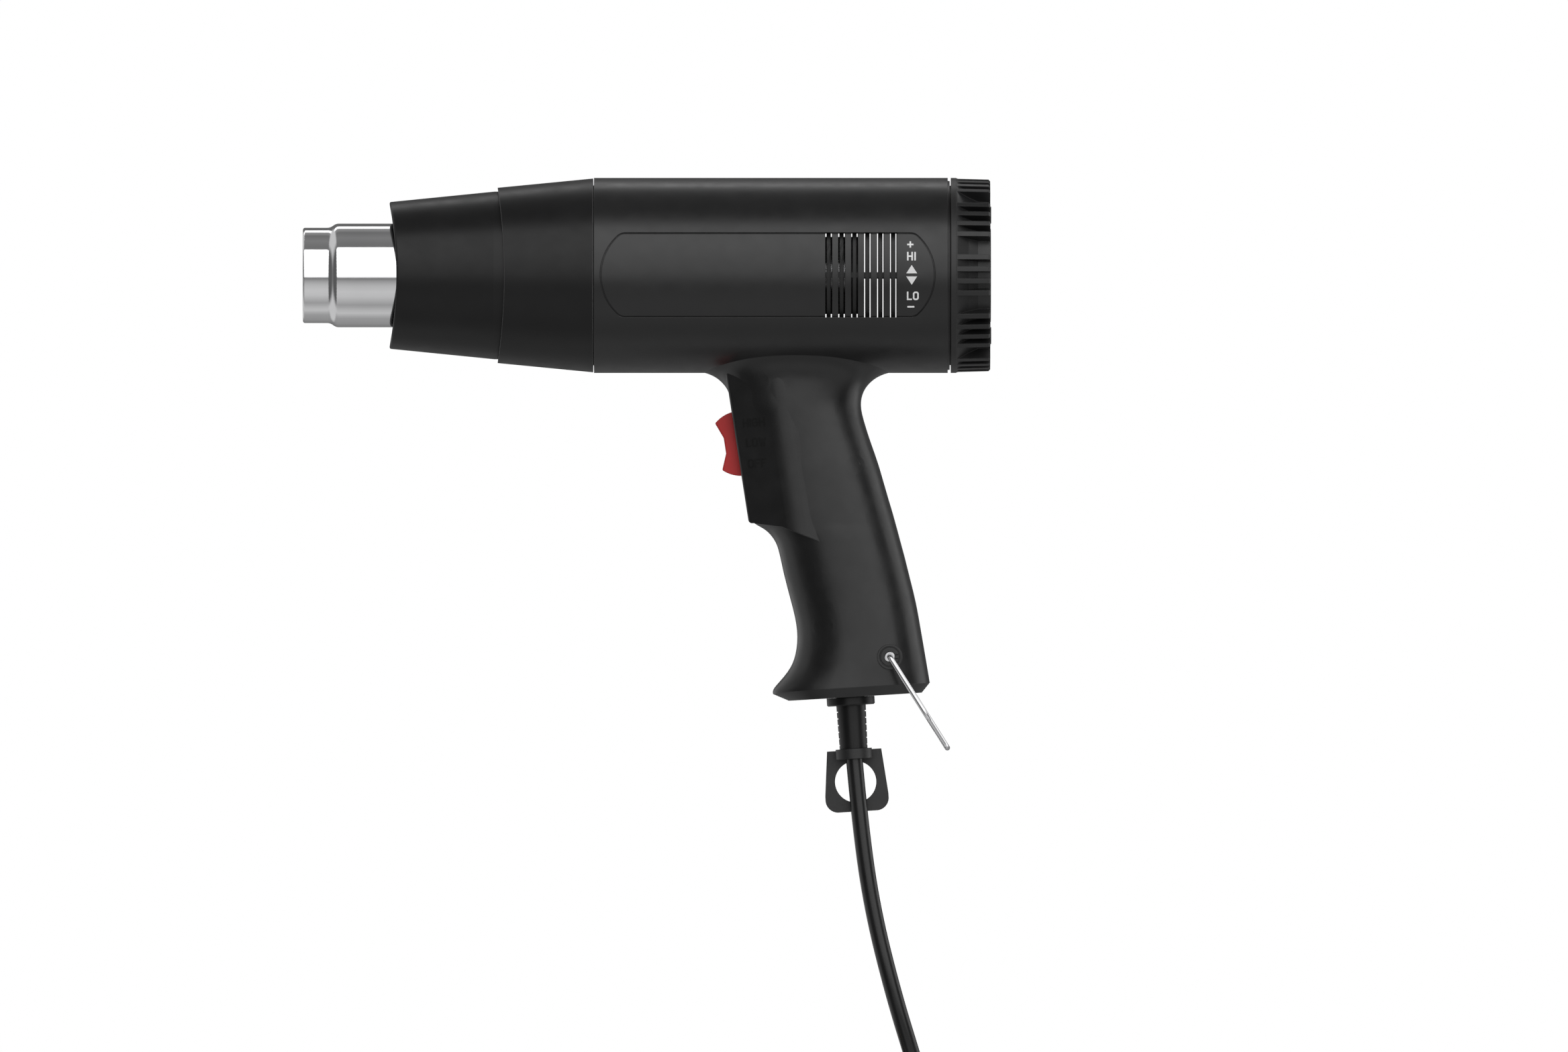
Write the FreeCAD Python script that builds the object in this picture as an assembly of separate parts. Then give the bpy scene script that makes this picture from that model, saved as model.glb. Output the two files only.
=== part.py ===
import FreeCAD, Part
import math
import os

# Hand-held heat gun, in millimetres. The barrel lies along X with its nozzle towards -X,
# the handle hangs below it, +Z is up, and the origin is the middle of the grip.

V = FreeCAD.Vector

# Barrel and its axis
AXIS_Z = 106.0
BARREL_R = 35.0
WALL = 2.5
BORE_R = BARREL_R - WALL
BARREL_FRONT = -90.2
BARREL_REAR = 36.6
NECK_R = 33.9
NECK_END = 37.3
REAR_WALL_FRONT = 34.8
HALF_SEAM = 0.1

# Handle: the round body's height, front, widest place, back and half width at each section
GRIP_STATIONS = [
    (-52.0, -26.4, 2.9, 32.2, 18.1),
    (-45.0, -25.6, 2.7, 31.0, 18.0),
    (-41.0, -24.8, 2.7, 30.3, 17.9),
    (-38.5, -22.6, 3.6, 29.9, 17.8),
    (-33.7, -19.3, 4.9, 29.1, 17.7),
    (-28.9, -17.8, 5.2, 28.3, 17.6),
    (-22.0, -17.4, 4.8, 27.1, 17.5),
    (-12.0, -19.3, 3.0, 25.3, 17.4),
    (0.0, -22.4, 0.0, 22.4, 17.4),
    (6.0, -23.7, -1.4, 20.9, 17.4),
    (10.0, -25.0, -2.3, 19.8, 17.4),
    (13.0, -27.0, -3.0, 19.0, 17.4),
    (15.2, -29.6, -3.5, 18.4, 17.35),
    (17.0, -32.6, -3.9, 17.9, 17.3),
    (21.0, -34.0, -4.8, 16.8, 17.3),
    (28.0, -34.8, -6.7, 14.7, 17.25),
    (38.0, -36.2, -9.1, 11.8, 17.2),
    (47.0, -37.6, -12.4, 8.7, 17.0),
    (54.0, -38.9, -15.5, 6.5, 17.0),
    (60.0, -41.2, -17.9, 5.5, 17.0),
]
# Sections that shape the curve under the switch block only; the hollow inside runs past them
LEDGE_HEIGHTS = (6.0, 13.0, 15.2, 17.0, 21.0)
SECTION_POINTS = 24
SECTION_POWER = 2.3
FLARE_RISE = 11.4
FLARE_ANGLES = (20, 38, 54, 68, 80, 90)
FLARE_FRONT = 12.6
FLARE_BACK = 13.4
FLARE_SIDE = 3.6
HANDLE_TOP = 82.0
BASE_TILT = 3.5
BASE_Z = -45.35
BASE_CHAMFER = 3.4

# Switch block on the handle's front; its face leans back by FACE_LEAN
FACE_CENTRE = V(-39.1, 0, 45.5)
FACE_LEAN = 8.755
BLOCK_FRONT_HALF = 10.9
BLOCK_WIDE_HALF = 16.9
BLOCK_WIDE_DEPTH = 16.7
BLOCK_SIDE_BEND = 20.0
BLOCK_ROUNDING = 1.4
POCKET_HALF = 8.4
ROCKER_PIVOT_DEPTH = 1.5
ROCKER_R = 11.64
ROCKER_HALF = 6.0
TRUNNION_R = 1.0
TRUNNION_END = 7.2
RUNNING_GAP = 0.05

# Label panel and intake slots, the same on both sides of the barrel
PANEL_HALF = 15.2
SLOT_FIRST = -6.1
SLOT_PITCH = 4.63
SLOT_COUNT = 6
SLOT_WIDTH = 2.4
GUARD_BAR = 1.5
GUARD_IN_R = 30.4
GUARD_OUT_R = 32.0

# Dial at the rear
DIAL_FRONT = 37.7
DIAL_RING_END = 39.7
DIAL_REAR = 51.83
DIAL_HUB_R = 12.0
LIP_END = 36.4
LIP_IN_R = 28.0
LIP_OUT_R = 32.2
LIP_GAP = 0.4
HUB_GAP = 0.08
DIAL_GROUPS = 10
WIDE_GROOVE = 11.3
NARROW_GROOVE = 4.1
NARROW_PITCH = 7.15
GROOVE_FLOOR_R = 30.2

# Nozzle, heater and shroud
NOZZLE_TIP = -194.6
TIP_R = 17.1
SHOULDER_FRONT = -184.9
SHOULDER_REAR = -182.7
SHOULDER_BEND = 3.2
TIP_ROUNDING = 0.75
NOZZLE_R = 18.6
NOZZLE_WALL = 0.8
NOZZLE_BACK = -97.0
HEATER_FRONT = -171.0
HEATER_BACK = -96.9
BOARD_HALF = 15.4
BOARD_THICK = 0.8
WINDING_TURNS = 12
SCALLOP_R = 125.0
SHROUD_FRONT = -160.9
STEP_SCALLOP_R = 200.0
STEP_FRONT = -122.3

# Motor and fan
MOTOR_R = 13.85
MOTOR_FRONT = -33.0
MOTOR_REAR = 5.0
SHAFT_R = 1.5
FAN_R = 26.0

# Wire stand
STAND_PIVOT = V(15.8, 0, -30.8)
STAND_ANGLE = 57.7
STAND_WIRE_R = 0.95
STAND_LEG_Y = 19.4
STAND_PIN_END = 15.6
STAND_CROSSBAR = 38.65
BOSS_FACE = 17.4
EYELET_R = 1.7
EYELET_END = 17.8
PIVOT_BEND_R = 1.5

# Boot, hang tab and cord
BOOT_TOP = V(1.74, 0, -45.24)
BOOT_R = 5.05
BOOT_INSIDE = 5.2
SLEEVE_TOP_R = 5.3
SLEEVE_LOW_R = 5.0
SLIT_PITCH = 2.4
SLIT_DEPTH = 0.15
CORD_R = 3.0
COLLAR_NEAR = 18.6
COLLAR_END = 22.2
FLOOR_Z = -214.0
CORD_ROUTE = [
    (3.10, 0, -67.40),
    (5.30, 0, -92.00),
    (9.70, 0, -122.00),
    (17.30, 0, -152.50),
    (25.20, 4.00, -178.00),
    (31.00, 14.00, -199.00),
    (35.00, 33.00, -211.00),
    (35.00, 54.00, -211.00),
]
CORD_ARC_SHARE = 0.45
COIL_X = -9.0
COIL_Y = 58.0
COIL_IN_R = 23.0
COIL_OUT_R = 47.0
COIL_HEIGHT = 12.0
COIL_TURN_R = 44.0
PLUG_Z = -206.4

CLAMP_Z = -29.0
CLAMP_SCREWS = (-5.2, 7.4)
SCREW_SEAT = 8.0
SCREWS = [(28.0, 134.5), (28.0, 77.5), (-31.0, 68.0), (3.5, 38.0), (-8.0, -20.0)]

parts = {}


def turned(corners):
    """Solid of revolution about the barrel's axis from (x, radius) corners."""
    points = [V(x, 0, AXIS_Z + r) for x, r in corners]
    face = Part.Face(Part.makePolygon(points + points[:1]))
    return face.revolve(V(0, 0, AXIS_Z), V(1, 0, 0), 360)


def rod_x(x_from, x_to, radius, y=0.0, z=AXIS_Z):
    """Cylinder along X."""
    return Part.makeCylinder(radius, x_to - x_from, V(x_from, y, z), V(1, 0, 0))


def rod_y(x, z, y_from, y_to, radius):
    """Cylinder along Y."""
    return Part.makeCylinder(radius, y_to - y_from, V(x, y_from, z), V(0, 1, 0))


def tube_x(x_from, x_to, outer, inner):
    """Ring along the barrel's axis."""
    return rod_x(x_from, x_to, outer).cut(rod_x(x_from - 1, x_to + 1, inner))


def block(x_from, x_to, y_from, y_to, z_from, z_to):
    return Part.makeBox(x_to - x_from, y_to - y_from, z_to - z_from, V(x_from, y_from, z_from))


def ring_edges(shape, x, radius):
    """Circular edges about the barrel's axis at one place and radius."""
    found = []
    for edge in shape.Edges:
        if isinstance(edge.Curve, Part.Circle):
            near = abs(edge.Curve.Center.x - x) < 0.05 and abs(edge.Curve.Radius - radius) < 0.05
            if near:
                found.append(edge)
    return found


def prism_y(points, y_from, y_to):
    """Straight-sided prism along Y over an (x, z) outline."""
    corners = [V(x, y_from, z) for x, z in points]
    face = Part.Face(Part.makePolygon(corners + corners[:1]))
    return face.extrude(V(0, y_to - y_from, 0))


def rounded_path(points, radii):
    """Straight runs through the points, joined by tangent arcs of the given radii."""
    edges = []
    start = points[0]
    for before, corner, after, radius in zip(points, points[1:], points[2:], radii):
        back = (before - corner).normalize()
        ahead = (after - corner).normalize()
        half_turn = (math.pi - back.getAngle(ahead)) / 2
        reach = radius * math.tan(half_turn)
        arc_start = corner + back * reach
        arc_end = corner + ahead * reach
        bisector = (back + ahead).normalize()
        middle = corner + bisector * (radius / math.cos(half_turn) - radius)
        edges.append(Part.LineSegment(start, arc_start).toShape())
        edges.append(Part.Arc(arc_start, middle, arc_end).toShape())
        start = arc_end
    edges.append(Part.LineSegment(start, points[-1]).toShape())
    return Part.Wire(edges)


def round_tube(points, radii, radius):
    """Round bar or cord along a rounded path."""
    path = rounded_path(points, radii)
    section = Part.Wire(Part.makeCircle(radius, points[0], points[1] - points[0]))
    return path.makePipeShell([section], True, False)


def on_face(shape):
    """Place a shape built with the switch face at x = 0 (front towards -X, face along Z)."""
    placed = shape.copy()
    placed.rotate(V(0, 0, 0), V(0, 1, 0), -FACE_LEAN)
    placed.translate(FACE_CENTRE)
    return placed


def on_boot(shape):
    """Place a shape built about the Z axis, hanging from z = 0, on the handle's tilted base."""
    placed = shape.copy()
    placed.rotate(V(0, 0, 0), V(0, 1, 0), -BASE_TILT)
    placed.translate(BOOT_TOP)
    return placed


# ---------------------------------------------------------------- housing

def handle_section(front, middle, back, half_width, height_at, inset=0.0):
    """Closed curve round the handle: two half superellipses that meet at its widest place."""
    points = []
    for k in range(SECTION_POINTS):
        angle = 2 * math.pi * k / SECTION_POINTS
        along = math.cos(angle)
        across = math.sin(angle)
        reach = back - middle - inset if along > 0 else middle - front - inset
        x = middle + reach * math.copysign(abs(along) ** (2 / SECTION_POWER), along)
        y = (half_width - inset) * math.copysign(abs(across) ** (2 / SECTION_POWER), across)
        points.append(V(x, y, height_at(y)))
    curve = Part.BSplineCurve()
    curve.interpolate(points, PeriodicFlag=True)
    return Part.Wire(curve.toShape())


def level(z):
    return lambda y: z


def flare_height(up, out):
    """Height of a flare section, which bends from level to the barrel's underside."""
    def height(y):
        barrel_rise = BARREL_R - math.sqrt(BARREL_R ** 2 - y ** 2)
        return GRIP_STATIONS[-1][0] + FLARE_RISE * up + out * barrel_rise
    return height


def handle_body():
    """Round body of the handle, flaring into the barrel at its top."""
    wires = [handle_section(f, m, b, w, level(z)) for z, f, m, b, w in GRIP_STATIONS]
    front, middle, back, half_width = GRIP_STATIONS[-1][1:]
    for degrees in FLARE_ANGLES:
        out = 1 - math.cos(math.radians(degrees))
        up = math.sin(math.radians(degrees))
        height = flare_height(up, out)
        wires.append(handle_section(front - FLARE_FRONT * out, middle, back + FLARE_BACK * out,
                                    half_width + FLARE_SIDE * out ** 3, height))
    lid = handle_section(front - 8, middle, back + 8, half_width + 1, level(HANDLE_TOP))
    side = Part.makeLoft(wires, False, False)
    neck = Part.makeLoft([wires[-1], lid], False, True)
    shell = Part.makeShell(side.Faces + neck.Faces + [Part.Face(wires[0]), Part.Face(lid)])
    shell.sewShape()
    return Part.makeSolid(shell)


def below_base(offset):
    """Everything below the handle's tilted base, moved up by the offset."""
    slab = block(-70, 70, -50, 50, -50, 0)
    slab.rotate(V(0, 0, 0), V(0, 1, 0), -BASE_TILT)
    slab.translate(V(0, 0, BASE_Z + offset))
    return slab


def side_prism(edges):
    """Solid across the handle from a side outline drawn at y = 0."""
    face = Part.Face(Part.Wire(edges))
    face.translate(V(0, -20, 0))
    return face.extrude(V(0, 40, 0))


def switch_bar():
    """Bar along the switch face that widens from its front until its sides run level."""
    corners = [V(-0.05, -BLOCK_FRONT_HALF, -60), V(-0.05, BLOCK_FRONT_HALF, -60),
               V(BLOCK_WIDE_DEPTH, BLOCK_WIDE_HALF, -60), V(60, BLOCK_WIDE_HALF, -60),
               V(60, -BLOCK_WIDE_HALF, -60), V(BLOCK_WIDE_DEPTH, -BLOCK_WIDE_HALF, -60)]
    bar = Part.Face(Part.makePolygon(corners + corners[:1])).extrude(V(0, 0, 120))
    uprights = [e for e in bar.Edges if e.BoundBox.ZLength > 100]
    wide_corners = [e for e in uprights if abs(e.BoundBox.XMax - BLOCK_WIDE_DEPTH) < 0.01]
    bar = bar.makeFillet(BLOCK_SIDE_BEND, wide_corners)
    front_corners = [e for e in bar.Edges if e.BoundBox.ZLength > 100 and e.BoundBox.XMax < 1]
    return on_face(bar.makeFillet(BLOCK_ROUNDING, front_corners))


def switch_block():
    """Block on the handle's front that carries the rocker; its sides run out into the handle's."""
    face_top = V(-44.5, 0, 80.0)
    foot_top = V(-34.9, 0, 18.2)
    foot_in = V(-33.2, 0, 17.1)
    ledge_bend = V(-23.0, 0, 15.9)
    ledge_end = V(-9.6, 0, 10.6)
    inside_low = V(-3.0, 0, 6.0)
    inside_high = V(-20.0, 0, 80.0)
    profile = side_prism([
        Part.LineSegment(face_top, foot_top).toShape(),
        Part.Arc(foot_top, V(-34.3, 0, 17.3), foot_in).toShape(),
        Part.LineSegment(foot_in, ledge_bend).toShape(),
        Part.LineSegment(ledge_bend, ledge_end).toShape(),
        Part.LineSegment(ledge_end, inside_low).toShape(),
        Part.LineSegment(inside_low, inside_high).toShape(),
        Part.LineSegment(inside_high, face_top).toShape(),
    ])
    return profile.common(switch_bar())


def handle_cavity():
    """Hollow inside the handle, up to the barrel."""
    wires = []
    for z, front, middle, back, half_width in GRIP_STATIONS:
        if z not in LEDGE_HEIGHTS:
            wires.append(handle_section(front, middle, back, half_width, level(z), WALL))
    wires.append(handle_section(*GRIP_STATIONS[-1][1:], level(86.0), WALL))
    return Part.makeLoft(wires, True, True).cut(below_base(WALL))


def panel_outline(inset):
    """Outline of the label panel in the XZ plane: straight sides and bowed ends."""
    left = -88.0 + inset
    right = 32.1 - inset
    half = PANEL_HALF - inset
    left_corner = -80.4
    right_corner = 24.6
    side = -BARREL_R - 5
    top_left = V(left_corner, side, AXIS_Z + half)
    top_right = V(right_corner, side, AXIS_Z + half)
    low_left = V(left_corner, side, AXIS_Z - half)
    low_right = V(right_corner, side, AXIS_Z - half)
    edges = [
        Part.LineSegment(top_left, top_right).toShape(),
        Part.Arc(top_right, V(right, side, AXIS_Z), low_right).toShape(),
        Part.LineSegment(low_right, low_left).toShape(),
        Part.Arc(low_left, V(left, side, AXIS_Z), top_left).toShape(),
    ]
    plate = Part.Face(Part.Wire(edges)).extrude(V(0, 80, 0))
    corners = [e for e in plate.Edges if e.BoundBox.YLength > 70]
    return plate.makeFillet(4.0 - inset, corners)


def panel_groove():
    """Fine groove round both label panels, 0.4 mm deep."""
    skin = tube_x(BARREL_FRONT, BARREL_REAR, BARREL_R + 1, BARREL_R - 0.4)
    return panel_outline(0.0).cut(panel_outline(0.5)).common(skin)


def slot_centres():
    return [SLOT_FIRST + k * SLOT_PITCH for k in range(SLOT_COUNT)]


def intake_slots():
    """Upright slots cut straight through both sides of the barrel."""
    slots = []
    for x in slot_centres():
        slots.append(block(x - SLOT_WIDTH / 2, x + SLOT_WIDTH / 2, -40, 40,
                           AXIS_Z - PANEL_HALF, AXIS_Z + PANEL_HALF))
    return slots


def half_space(side):
    """Everything on one side of the seam, short of it by HALF_SEAM."""
    near, far = sorted((side * HALF_SEAM, side * 60.0))
    return block(-200, 200, near, far, -60, 150)


def outer_half():
    """Outside of the right half of the housing, before it is hollowed."""
    right = half_space(1)
    handle = handle_body().cut(below_base(0))
    rim = [e for e in handle.Edges if e.BoundBox.ZMax < -41]
    handle = handle.makeChamfer(BASE_CHAMFER, rim).common(right)
    handle = handle.fuse(switch_block().common(right))
    barrel = rod_x(BARREL_FRONT, BARREL_REAR, BARREL_R)
    barrel = barrel.fuse(rod_x(BARREL_REAR - 1, NECK_END, NECK_R)).common(right)
    half = barrel.fuse(handle)
    return half.cut(panel_groove()).cut(intake_slots())


def hollows():
    """Rooms and openings cut into each half, in the order they are cut."""
    return [
        handle_cavity().common(half_space(1)),
        rod_x(BARREL_FRONT - 1, REAR_WALL_FRONT, BORE_R),
        rod_x(REAR_WALL_FRONT - 1, NECK_END + 1, DIAL_HUB_R + HUB_GAP),
        tube_x(LIP_END - LIP_GAP, NECK_END + 1, LIP_OUT_R + LIP_GAP, LIP_IN_R - LIP_GAP),
        on_face(block(2.0, 24.0, -POCKET_HALF, POCKET_HALF, -24.0, 30.0)),
        on_face(block(-4, 4, -7.9, 7.9, -12.1, 12.1)),
        on_boot(Part.makeCylinder(BOOT_R + 0.1, 8, V(0, 0, -2))),
    ]


def add_bosses(shell, outer, side):
    """Screw towers from the seam to the wall, and the round boss for the stand."""
    tower_r = 4.6 if side > 0 else 3.4
    for x, z in SCREWS:
        near, far = sorted((side * HALF_SEAM, side * 34.0))
        shell = shell.fuse(rod_y(x, z, near, far, tower_r).common(outer))
        if side > 0:
            shell = shell.cut(rod_y(x, z, -1, 34, 1.7))
            shell = shell.cut(rod_y(x, z, SCREW_SEAT, 34, 3.4))
        else:
            shell = shell.cut(rod_y(x, z, -13.5, 1, 1.5))
    if side > 0:
        for x in CLAMP_SCREWS:
            shell = shell.fuse(rod_y(x, CLAMP_Z, HALF_SEAM, 34, 2.4).common(outer))
            shell = shell.cut(rod_y(x, CLAMP_Z, -1, 6, 1.25))
    near, far = sorted((side * 9.0, side * BOSS_FACE))
    shell = shell.fuse(rod_y(STAND_PIVOT.x, STAND_PIVOT.z, near, far, 4.5))
    shell = shell.cut(rod_y(STAND_PIVOT.x, STAND_PIVOT.z, near - 1, far + 1, EYELET_R + 0.1))
    groove = rod_y(STAND_PIVOT.x, STAND_PIVOT.z, far - 0.3, far + 1, 3.7)
    if side < 0:
        groove = rod_y(STAND_PIVOT.x, STAND_PIVOT.z, near - 1, near + 0.3, 3.7)
    inner = rod_y(STAND_PIVOT.x, STAND_PIVOT.z, near - 2, far + 2, 3.3)
    shell = shell.cut(groove.cut(inner))
    low, high = (far - 0.3, far + 1) if side > 0 else (near - 1, near + 0.3)
    for rise in (-0.7, 0.7):
        z = STAND_PIVOT.z + rise
        shell = shell.cut(block(STAND_PIVOT.x + 2.0, STAND_PIVOT.x + 3.4, low, high, z - 0.15, z + 0.15))
    return shell


def build_housing():
    outer = outer_half()
    shell = outer
    for hollow in hollows():
        shell = shell.cut(hollow)
    middle = V(0, 0, 0)
    across = V(0, 1, 0)
    parts["housing_right"] = add_bosses(shell, outer, 1)
    parts["housing_left"] = add_bosses(shell.mirror(middle, across), outer.mirror(middle, across), -1)


def build_guards():
    """Slotted finger guards behind the intake slots, one each side."""
    left_end = SLOT_FIRST - 3.2
    right_end = SLOT_FIRST + (SLOT_COUNT - 1) * SLOT_PITCH + 3.2
    band = tube_x(left_end, right_end, GUARD_OUT_R, GUARD_IN_R)
    windows = []
    bars = [left_end - 1] + slot_centres() + [right_end + 1]
    for x_left, x_right in zip(bars, bars[1:]):
        low = max(x_left + GUARD_BAR / 2, left_end + 1.2)
        high = min(x_right - GUARD_BAR / 2, right_end - 1.2)
        for bottom, top in ((1.0, PANEL_HALF + 0.6), (-PANEL_HALF - 0.6, -1.0)):
            windows.append(block(low, high, -40, 40, AXIS_Z + bottom, AXIS_Z + top))
    lattice = band.cut(windows)
    reach = PANEL_HALF + 3.0
    left = block(-20, 40, -40, 0, AXIS_Z - reach, AXIS_Z + reach)
    right = block(-20, 40, 0, 40, AXIS_Z - reach, AXIS_Z + reach)
    parts["finger_guard_left"] = lattice.common(left)
    parts["finger_guard_right"] = lattice.common(right)


def build_screws():
    """Pan-head screws driven from the right side."""
    screws = []
    for x, z in SCREWS:
        shank = rod_y(x, z, -12.5, SCREW_SEAT + 0.2, 1.45)
        head = rod_y(x, z, SCREW_SEAT + 0.05, SCREW_SEAT + 2.1, 2.9)
        cross = block(x - 0.4, x + 0.4, SCREW_SEAT + 1.1, 11, z - 1.8, z + 1.8)
        bar = block(x - 1.8, x + 1.8, SCREW_SEAT + 1.1, 11, z - 0.4, z + 0.4)
        screws.append(shank.fuse(head).cut([cross, bar]))
    parts["housing_screws"] = Part.makeCompound(screws)


# ---------------------------------------------------------------- shroud and nozzle

def shroud_radius(x):
    """Outer radius of the front shroud's gentle cone."""
    return 26.8 + 0.1 * (x + 158.9)


def step_radius(x):
    """Outer radius of the rear shroud's gentle cone."""
    return 31.5 + 0.0968 * (x + 124.5)


def build_shrouds():
    tip = -165.0
    lap = -116.0
    outer = turned([(tip, shroud_radius(tip)), (-126, shroud_radius(-126)), (lap, 30.2), (lap, 28.2),
                    (-126, 27.9), (tip, shroud_radius(tip) - 2.2)])
    web = turned([(-150, 19.0), (-150, shroud_radius(-150) - 1), (-148, shroud_radius(-148) - 1), (-148, 19.0)])
    scallop = rod_y(SHROUD_FRONT - SCALLOP_R, AXIS_Z, -50, 50, SCALLOP_R)
    front = outer.fuse(web).cut(scallop)
    rim = []
    for edge in front.Edges:
        box = edge.BoundBox
        if box.XMax < SHROUD_FRONT + 0.2 and box.XMin > tip:
            rim.append(edge)
    parts["shroud_front"] = front.makeFillet(0.7, rim)

    end = -90.5
    rear = turned([(-126, step_radius(-126)), (end, step_radius(end)), (end, BORE_R - 0.2), (-84, BORE_R - 0.2),
                   (-84, 29.8), (-115.5, 29.4), (-115.5, 30.6), (-126, 30.6)])
    step_scallop = rod_y(STEP_FRONT - STEP_SCALLOP_R, AXIS_Z, -50, 50, STEP_SCALLOP_R)
    parts["shroud_rear"] = rear.cut(step_scallop)


def build_nozzle():
    """Steel tube with a smaller seat at its tip, a rounded shoulder and a flange at its back."""
    wall = NOZZLE_WALL
    nozzle = turned([
        (NOZZLE_TIP, TIP_R), (SHOULDER_FRONT, TIP_R), (SHOULDER_REAR, NOZZLE_R), (NOZZLE_BACK - 1, NOZZLE_R),
        (NOZZLE_BACK - 1, 23.6), (NOZZLE_BACK, 23.6), (NOZZLE_BACK, NOZZLE_R - wall),
        (SHOULDER_REAR + 0.8, NOZZLE_R - wall), (SHOULDER_FRONT + 0.6, TIP_R - wall), (NOZZLE_TIP, TIP_R - wall)])
    shoulder = ring_edges(nozzle, SHOULDER_FRONT, TIP_R) + ring_edges(nozzle, SHOULDER_REAR, NOZZLE_R)
    nozzle = nozzle.makeFillet(SHOULDER_BEND, shoulder)
    parts["nozzle_tube"] = nozzle.makeFillet(TIP_ROUNDING, ring_edges(nozzle, NOZZLE_TIP, TIP_R))
    parts["mica_lining"] = tube_x(-178.0, HEATER_BACK, 17.5, 16.9)


def build_heater():
    """Two mica boards slotted into a cross, with a winding round their tips."""
    middle = (HEATER_FRONT + HEATER_BACK) / 2
    half_thick = BOARD_THICK / 2
    slot = half_thick + 0.05
    upright = block(HEATER_FRONT, HEATER_BACK, -half_thick, half_thick, AXIS_Z - BOARD_HALF, AXIS_Z + BOARD_HALF)
    upright = upright.cut(block(HEATER_FRONT - 1, middle + 0.05, -2, 2, AXIS_Z - slot, AXIS_Z + slot))
    flat = block(HEATER_FRONT, HEATER_BACK, -BOARD_HALF, BOARD_HALF, AXIS_Z - half_thick, AXIS_Z + half_thick)
    flat = flat.cut(block(middle - 0.05, HEATER_BACK + 1, -slot, slot, AXIS_Z - 2, AXIS_Z + 2))
    winding = []
    notches = []
    wire_r = 1.0
    for k in range(WINDING_TURNS):
        x = HEATER_FRONT + 6 + k * 5.2
        corners = [V(x, 0, AXIS_Z + 15.0), V(x, 15.0, AXIS_Z), V(x, 0, AXIS_Z - 15.0), V(x, -15.0, AXIS_Z)]
        turn = None
        for start, end in zip(corners, corners[1:] + corners[:1]):
            leg = Part.makeCylinder(wire_r, (end - start).Length, start, end - start)
            leg = leg.fuse(Part.makeSphere(wire_r, start))
            turn = leg if turn is None else turn.fuse(leg)
        winding.append(turn)
        for angle in (0, 90, 180, 270):
            notch = block(x - 1.2, x + 1.2, -2, 2, AXIS_Z + 14.1, AXIS_Z + 17)
            notch.rotate(V(0, 0, AXIS_Z), V(1, 0, 0), angle)
            notches.append(notch)
    parts["heater_board_upright"] = upright.cut(notches)
    parts["heater_board_flat"] = flat.cut(notches)
    parts["heater_winding"] = Part.makeCompound(winding)
    parts["heater_flange"] = tube_x(-96.8, -95.8, 23.6, 14.0)
    parts["thermal_cutout"] = rod_x(-95.6, -91.6, 4.0, 0, AXIS_Z + 18.5)


# ---------------------------------------------------------------- motor and fan

def build_motor():
    can = rod_x(MOTOR_FRONT, MOTOR_REAR - 3, MOTOR_R).cut(rod_x(MOTOR_FRONT + 1, MOTOR_REAR, MOTOR_R - 1.2))
    front_bush = tube_x(MOTOR_FRONT - 2, MOTOR_FRONT + 2, 3.5, SHAFT_R + RUNNING_GAP)
    rear_bush = tube_x(MOTOR_REAR - 2.5, MOTOR_REAR + 0.5, 3.0, SHAFT_R + RUNNING_GAP)
    parts["motor_can"] = can.cut(rod_x(MOTOR_FRONT - 3, MOTOR_FRONT + 3, 3.5))
    cap = rod_x(MOTOR_REAR - 3, MOTOR_REAR, MOTOR_R)
    parts["motor_end_cap"] = cap.cut(rod_x(MOTOR_REAR - 4, MOTOR_REAR + 1, 3.0))
    parts["motor_bushes"] = Part.makeCompound([front_bush, rear_bush])
    ring = tube_x(-26, -3, MOTOR_R - 1.25, 10.4)
    gap = block(-40, 20, -4, 4, AXIS_Z - 20, AXIS_Z + 20)
    parts["motor_magnets"] = ring.cut(gap)
    core = rod_x(-25, -5, 9.9)
    slots = []
    for k in range(5):
        slot = block(-26, -4, -0.8, 0.8, AXIS_Z + 4.5, AXIS_Z + 12)
        slot.rotate(V(0, 0, AXIS_Z), V(1, 0, 0), 72 * k)
        slots.append(slot)
    parts["armature"] = core.cut(slots).cut(rod_x(-30, 10, SHAFT_R))
    parts["commutator"] = tube_x(-4.6, 0.6, 3.2, SHAFT_R)
    parts["motor_shaft"] = rod_x(-58.5, MOTOR_REAR + 1.5, SHAFT_R)


def build_motor_mount():
    """Sleeve round the motor, spokes and an outer ring in the barrel."""
    mount = tube_x(-31, -13, 15.6, MOTOR_R + 0.05)
    mount = mount.fuse(tube_x(-36, -13, BORE_R - 0.2, 30.8))
    for k in range(4):
        spoke = block(-27, -14, -1.1, 1.1, AXIS_Z + 14.8, AXIS_Z + 31.4)
        spoke.rotate(V(0, 0, AXIS_Z), V(1, 0, 0), 45 + 90 * k)
        mount = mount.fuse(spoke)
    parts["motor_mount"] = mount.removeSplitter()


def build_fan():
    """Hub with nine twisted blades."""
    fan = turned([(-56, 0), (-56, 6), (-54, 8.6), (-42, 9), (-42, 0)])
    for k in range(9):
        blade = Part.makeBox(1.3, 15, 18.6, V(-0.65, -7.5, 7.2))
        blade.rotate(V(0, 0, 0), V(0, 0, 1), -52)
        blade.translate(V(-49, 0, AXIS_Z))
        blade.rotate(V(0, 0, AXIS_Z), V(1, 0, 0), 40 * k)
        fan = fan.fuse(blade)
    fan = fan.common(rod_x(-57, -41, FAN_R))
    parts["fan"] = fan.cut(rod_x(-60, -40, SHAFT_R))


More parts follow.
